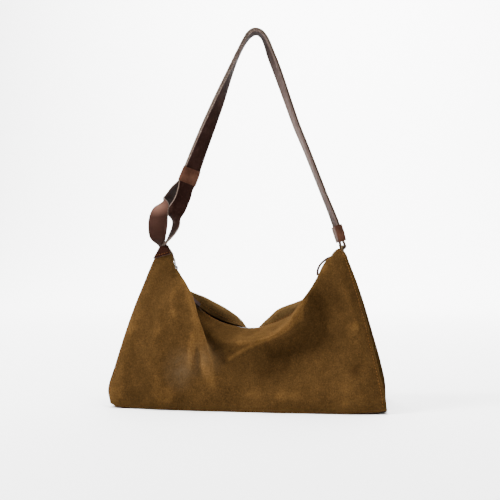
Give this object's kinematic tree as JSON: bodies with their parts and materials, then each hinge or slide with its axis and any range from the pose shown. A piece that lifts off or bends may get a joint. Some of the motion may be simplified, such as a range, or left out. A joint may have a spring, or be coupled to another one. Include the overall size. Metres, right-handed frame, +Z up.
{
  "type": "hobo bag",
  "caption": "Slouched suede hobo bag with a zip along its curved top, folded gussets and a doubled leather shoulder strap.",
  "frame": {"origin": "middle of the underside of the base", "axes": "+X to the right peak, where the ring is; -Y the front; +Z up"},
  "size_m": [0.4, 0.1536, 0.5359],
  "materials": {
    "suede": "napped suede, matt, softly mottled",
    "strap_leather": "smooth dark leather, satin",
    "keeper_leather": "reddish brown leather, satin",
    "facing_leather": "smooth mauve-brown leather",
    "tab_leather": "dark brown leather, satin",
    "lining_cloth": "plain woven lining",
    "board": "matt stiffener",
    "zip_cloth": "herringbone zip tape",
    "coil_nylon": "spiral nylon",
    "nickel": "polished nickel plate",
    "brass": "aged brass"
  },
  "bodies": {
    "bag": {"front_panel": "suede", "back_panel": "suede", "gusset_left": "suede", "gusset_right": "suede", "base_panel": "suede", "base_board": "board", "lining_front": "lining_cloth", "lining_back": "lining_cloth", "lining_gusset_left": "lining_cloth", "lining_gusset_right": "lining_cloth", "lining_base": "lining_cloth", "slip_pocket": "lining_cloth", "zip_tape_front": "zip_cloth", "zip_tape_back": "zip_cloth", "zip_coil_front": "coil_nylon", "zip_coil_back": "coil_nylon", "zip_facing_front": "facing_leather", "zip_facing_back": "facing_leather", "zip_stops": "nickel", "zip_end_tab": "tab_leather", "corner_cap_left": "tab_leather", "strap_root_left": "tab_leather", "ring": "brass", "ring_chape_right": "suede", "strap_limb_outer": "strap_leather", "strap_limb_inner": "strap_leather", "strap_bend_right": "strap_leather", "strap_loop_right": "strap_leather", "keeper_right": "keeper_leather"},
    "strap": {"strap_outer": "strap_leather", "strap_inner": "strap_leather", "keeper_left": "keeper_leather"},
    "slider": {"zip_slider": "nickel"},
    "pull": {"pull_link": "nickel"},
    "tab": {"pull_tab": "tab_leather"}
  },
  "joints": [
    {"name": "strap_swing", "type": "hinge", "parent": "bag", "child": "strap", "pos_m": [0, 0, 0.268], "axis": [1, 0, 0], "range_deg": [-140, 140], "deforming": ["strap_limb_outer", "strap_limb_inner", "strap_bend_right"]},
    {"name": "zip_run", "type": "hinge", "parent": "bag", "child": "slider", "pos_m": [0, 0, 0.224], "axis": [0, -1, 0], "range_deg": [0, 128]},
    {"name": "pull_swing", "type": "hinge", "parent": "slider", "child": "pull", "pos_m": [-0.11102, 0, 0.20141], "axis": [0, -1, 0], "range_deg": [0, 120]},
    {"name": "tab_swing", "type": "hinge", "parent": "pull", "child": "tab", "pos_m": [-0.10832, 0, 0.19283], "axis": [0, -1, 0], "range_deg": [0, 45]}
  ]
}
